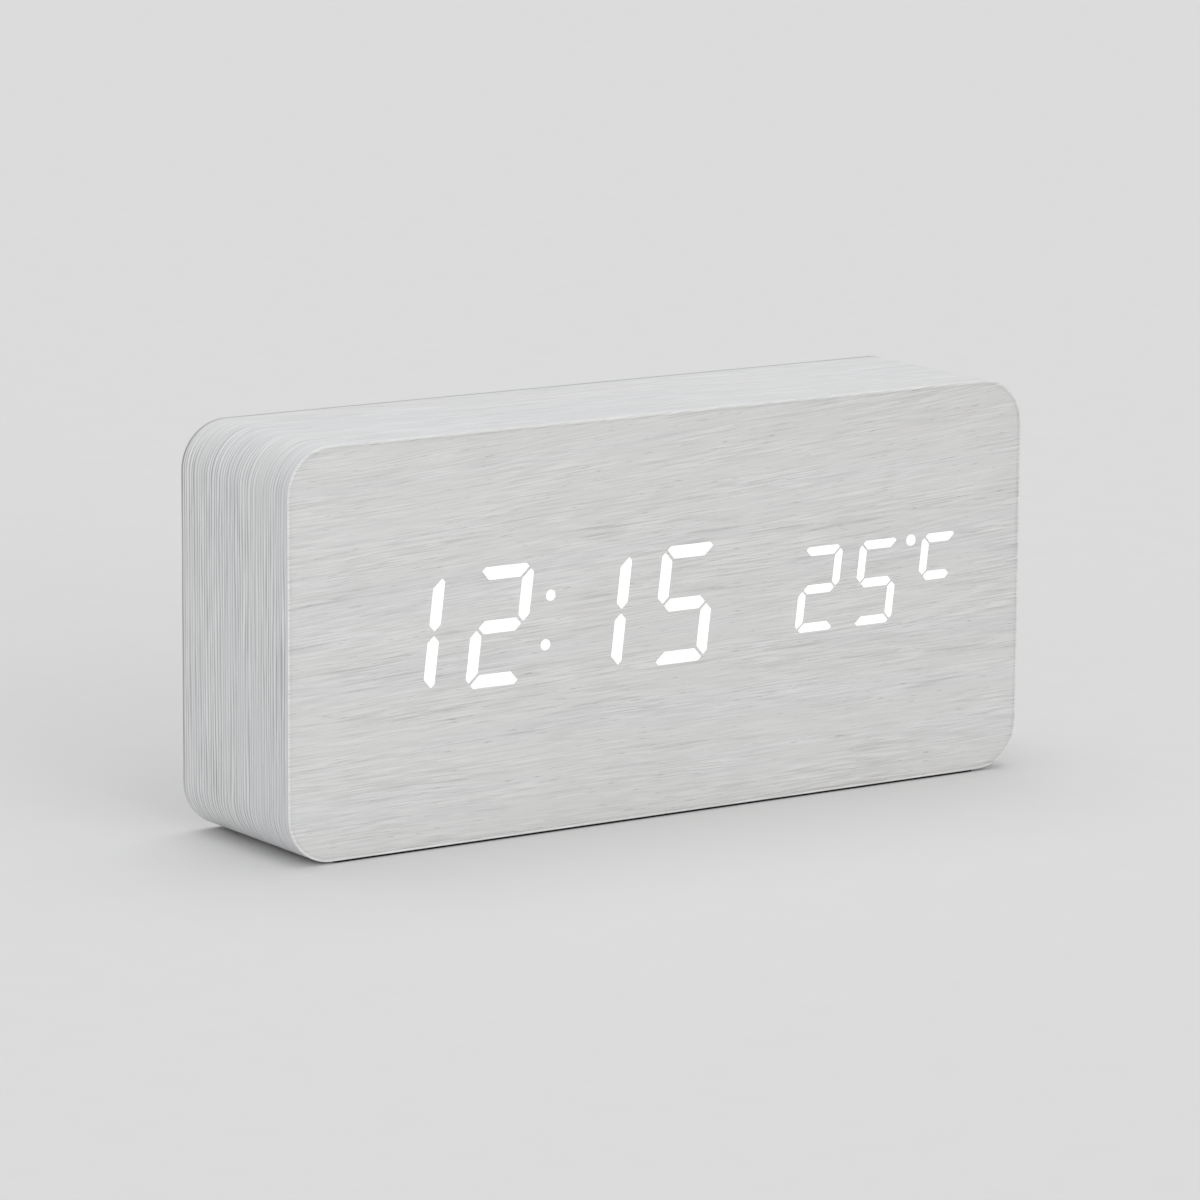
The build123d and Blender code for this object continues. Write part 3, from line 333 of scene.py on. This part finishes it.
def edge_tones(tree, grain_tone):
    """The tone of the band's grain, calm near the front edge, with a painted highlight, painted shade and a
    dark seam along the front edge, and a dark line along the rear edge.
    """
    depth = wire(tree, "SeparateXYZ", {0: object_place(tree)}).outputs[1]
    rightward, _, upward = object_normal(tree)
    calm = span(tree, depth, [front_y + reach for reach in calm_strip], mask_ends)
    calmed = math_node(tree, "MULTIPLY_ADD", math_node(tree, "SUBTRACT", grain_tone, 1.0), calm, 1.0)
    near_front = span(tree, depth, [front_y + reach for reach in painted_highlight_strip], mask_ends)
    not_right = span(tree, rightward, right_facing, falling_mask_ends)
    # Painted highlight: the front edge is made paler where it faces up, except where it faces right
    painted_highlight = product(tree, [near_front, not_right, span(tree, upward, painted_highlight_facing, mask_ends)])
    # Darker along the front edge where the band faces sideways: painted shade on the right, a dark seam line
    # on the left
    leftmost = span(tree, rightward, [-facing for facing in left_facing], mask_ends)
    sideways = math_node(tree, "MAXIMUM", leftmost, span(tree, rightward, right_facing, mask_ends))
    seam_and_shade = math_node(tree, "MULTIPLY", near_front, sideways)
    # A dark line along the rear edge, reaching further forward where the band faces up
    toward_rear = math_node(tree, "MULTIPLY_ADD", upward, rear_line_top_reach, depth)
    rear_darkened = span(tree, toward_rear, [rear_y - reach for reach in rear_line_strip], mask_ends)
    masks = ((painted_highlight, painted_highlight_tone), (seam_and_shade, seam_and_shade_tone), (rear_darkened, rear_line_tone))
    return product(tree, [calmed] + [span(tree, mask, mask_ends, (1.0, tone)) for mask, tone in masks])


def fine_lines(tree, place, grain):
    """Close lines along the grain, from -1 to 1, that wander and never quite repeat."""
    across = wire(tree, "SeparateXYZ", {0: place}).outputs["xyz".index(grain.across)]
    turns = math_node(tree, "DIVIDE", across, line_pitch * grain.coarseness)
    wandering = noise(tree, place, grain_size(grain, wander))
    turns = math_node(tree, "MULTIPLY_ADD", wandering, line_wander_turns, turns)
    return math_node(tree, "SINE", math_node(tree, "MULTIPLY", turns, math.tau))


def veneer_color(tree, grain, has_edges):
    """White-washed wood: fibres, lines, dark grooves and pores, pale ridges, rings and clouds, two tints."""
    place = grain_place(tree, grain)
    fibres = noise(tree, place, grain_size(grain, fibre), plain_detail)
    grooves = span(tree, noise(tree, place, grain_size(grain, groove)), noise_peaks, mask_ends)
    pores = noise(tree, place, grain_size(grain, pore), plain_detail)
    ridges = noise(tree, place, grain_size(grain, ridge), plain_detail)
    rings = noise(tree, place, grain_size(grain, ring), more_detail)
    clouds = noise(tree, place, grain_size(grain, cloud))
    strength = span(tree, noise(tree, place, grain_size(grain, patch)), most_noise, patch_strengths)
    lines = fine_lines(tree, place, grain)
    if has_edges:
        fainter_on_top = span(tree, object_normal(tree)[2], line_facing, (1.0, top_line_share))
        lines = math_node(tree, "MULTIPLY", lines, fainter_on_top)
    waver = span(tree, fibres, middle_noise, about(0.0, grain.fibre))
    waver = math_node(tree, "MULTIPLY_ADD", lines, grain.line, waver)
    along = wire(tree, "SeparateXYZ", {0: object_place(tree)}).outputs[0]
    tone = product(tree, [
        math_node(tree, "MULTIPLY_ADD", waver, strength, 1.0),
        span(tree, grooves, mask_ends, (1.0, 1 - grain.groove)),
        span(tree, pores, highest_noise, (1.0, 1 - grain.pore)),
        span(tree, ridges, noise_peaks, (1.0, 1 + grain.ridge)),
        span(tree, rings, most_noise, about(1.0, grain.ring)),
        span(tree, clouds, most_noise, about(1.0, grain.cloud)),
        # Painted light: the sheet is lighter at its left end and darker at its right end
        span(tree, along, (left_x, right_x), grain.fade),
    ])
    if has_edges:
        tone = edge_tones(tree, tone)
    tone = math_node(tree, "MINIMUM", tone, grain.most)
    warmth = span(tree, noise(tree, place, grain_size(grain, tint)), most_noise, mask_ends)
    color = mixed(tree, warmth, (*grain.cool, 1.0), (*grain.warm, 1.0))
    relief = math_node(tree, "SUBTRACT", math_node(tree, "MULTIPLY", fibres, fibre_relief_share), grooves)
    return tinted(tree, color, tone), fibres, relief


def veneer(name, grain, has_edges=False):
    """Veneer of one grain. The band's front edge shows the front sheet's grain, which runs on over it."""
    material, tree, shader = new_material(name)
    color, fibres, relief = veneer_color(tree, grain, has_edges)
    if has_edges:
        frontal = span(tree, object_normal(tree)[1], [-facing for facing in front_facing], mask_ends)
        color = mixed(tree, frontal, color, veneer_color(tree, sheet_grain, False)[0])
    tree.links.new(color, shader.inputs["Base Color"])
    tree.links.new(span(tree, fibres, most_noise, veneer_roughness), shader.inputs["Roughness"])
    add_bump(tree, shader, relief, groove_depth)
    return material, shader


front_sheet, front_shader = veneer("front_sheet", sheet_grain)
front_shader.inputs["Subsurface Weight"].default_value = glow_spread_share
front_shader.inputs["Subsurface Radius"].default_value = glow_spread_color_shares
front_shader.inputs["Subsurface Scale"].default_value = glow_spread
assign("front_veneer", front_sheet)
assign("rear_veneer", veneer("rear_sheet", sheet_grain)[0])
assign("edge_band", veneer("edge_strip", band_grain, has_edges=True)[0])


# Veneer lit from behind
def make_glow():
    """The front sheet's colour, lit. The sides of the patches are dimmer than their faces."""
    material, tree, shader = new_material("segment_glow")
    fleck = even_noise(tree, glow_fleck)
    tone = span(tree, fleck, most_noise, glow_tones)
    tree.links.new(tinted(tree, sheet_grain.cool, tone), shader.inputs["Base Color"])
    tree.links.new(span(tree, fleck, most_noise, veneer_roughness), shader.inputs["Roughness"])
    turned = math_node(tree, "ABSOLUTE", object_normal(tree)[1])
    facing = span(tree, turned, glow_side_facing, (glow_side_share, 1.0))
    strength = math_node(tree, "MULTIPLY", span(tree, fleck, most_noise, glow_strengths), facing)
    tree.links.new(strength, shader.inputs["Emission Strength"])
    shader.inputs["Emission Color"].default_value = white
    return material


glow = make_glow()
for name in glow_nodes:
    assign(name, glow)


# Every other finish
def mottled(slot):
    """A moulded, painted or plated surface in the record's colour, with its own fleck and sheen."""
    surface = surfaces[slot]
    material, tree, shader = new_material(slot)
    shader.inputs["Metallic"].default_value = surface.metallic
    shader.inputs["Specular IOR Level"].default_value = surface.sheen
    fleck = even_noise(tree, surface.fleck)
    tone = span(tree, fleck, most_noise, about(1.0, surface.tone_spread))
    tree.links.new(tinted(tree, slot_color[slot], tone), shader.inputs["Base Color"])
    roughness = span(tree, fleck, most_noise, about(surface.roughness, surface.roughness_spread))
    tree.links.new(roughness, shader.inputs["Roughness"])
    add_bump(tree, shader, fleck, surface.relief)
    return material


finishes = {slot: mottled(slot) for slot in surfaces}
for name, slot in slot_of_node.items():
    if slot in finishes:
        assign(name, finishes[slot])


# Marks above the buttons: a ring, and triangles pointing up and down
def make_mark(button):
    """A raised outline of as many sides as the button's mark has."""
    low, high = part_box(button)
    center_x = (low.x + high.x) / 2
    center_z = (low.z + high.z) / 2 + mark_rise
    cover_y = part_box("rear_cover")[1].y
    sides = mark_sides[button]
    points = []
    for depth in (cover_y - mark_sink, cover_y + mark_height):
        for radius in (mark_radius, mark_radius * mark_wall_share):
            for side in range(sides):
                angle = mark_turn[button] + math.tau * side / sides
                x = center_x + radius * math.cos(angle)
                z = center_z + radius * math.sin(angle)
                points.append((x, depth, z))
    # Loops 0 and 1 are the outer and inner outlines sunk in the cover, 2 and 3 the raised ones
    faces = []
    for loop, next_loop in ((0, 1), (1, 3), (3, 2), (2, 0)):
        start = loop * sides
        next_start = next_loop * sides
        for side in range(sides):
            after = (side + 1) % sides
            faces.append((start + side, start + after, next_start + after, next_start + side))
    mesh = bpy.data.meshes.new(button + "_mark")
    mesh.from_pydata(points, [], faces)
    mesh.materials.append(finishes["black_abs"])
    mark = bpy.data.objects.new(button + "_mark", mesh)
    bpy.context.scene.collection.objects.link(mark)
    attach(mark, "case")


for button in mark_sides:
    make_mark(button)


# Floor, light and camera
def make_floor():
    mesh = bpy.data.meshes.new("floor")
    half = floor_half_width
    corners = [(-half, -half, 0), (half, -half, 0), (half, half, 0), (-half, half, 0)]
    mesh.from_pydata(corners, [], [(0, 1, 2, 3)])
    floor = bpy.data.objects.new("floor", mesh)
    bpy.context.scene.collection.objects.link(floor)
    material, tree, shader = new_material("pale_floor")
    tone = span(tree, even_noise(tree, floor_fleck), most_noise, floor_tones)
    tree.links.new(tinted(tree, floor_color, tone), shader.inputs["Base Color"])
    shader.inputs["Roughness"].default_value = floor_roughness
    shader.inputs["Specular IOR Level"].default_value = floor_sheen
    mesh.materials.append(material)


def make_world():
    """An even sky, and the backdrop that shows where there is no floor."""
    world = bpy.data.worlds.new("studio")
    world.use_nodes = True
    tree = world.node_tree
    tree.nodes.clear()
    rays = wire(tree, "LightPath", {})
    seen = math_node(tree, "MAXIMUM", rays.outputs["Is Camera Ray"], rays.outputs["Is Glossy Ray"])
    seen = math_node(tree, "MAXIMUM", seen, rays.outputs["Is Transmission Ray"])
    sky = wire(tree, "Background", {"Color": white, "Strength": sky_strength})
    backdrop = wire(tree, "Background", {"Color": white, "Strength": backdrop_strength})
    either = wire(tree, "MixShader", {0: seen, 1: sky.outputs[0], 2: backdrop.outputs[0]})
    wire(tree, "OutputWorld", {"Surface": either.outputs[0]})
    bpy.context.scene.world = world


def make_lamp(name, lamp):
    data = bpy.data.lights.new(name, "SUN")
    data.energy = lamp.strength
    data.angle = lamp.spread
    light = bpy.data.objects.new(name, data)
    light.rotation_euler = Vector(lamp.toward).to_track_quat("Z", "Y").to_euler()
    bpy.context.scene.collection.objects.link(light)


def make_camera():
    data = bpy.data.cameras.new("camera")
    data.sensor_width = camera_sensor
    data.lens = camera_lens
    camera = bpy.data.objects.new("camera", data)
    turn = Matrix.Rotation(camera_yaw, 4, "Z") @ Matrix.Rotation(camera_pitch, 4, "X")
    turn = turn @ Matrix.Rotation(camera_roll, 4, "Y") @ Matrix.Rotation(math.pi / 2, 4, "X")
    camera.matrix_world = Matrix.Translation(camera_place) @ turn
    bpy.context.scene.collection.objects.link(camera)
    bpy.context.scene.camera = camera


make_floor()
make_world()
for name, lamp in lamps.items():
    make_lamp(name, lamp)
make_camera()
bpy.context.scene.view_settings.view_transform = "Standard"
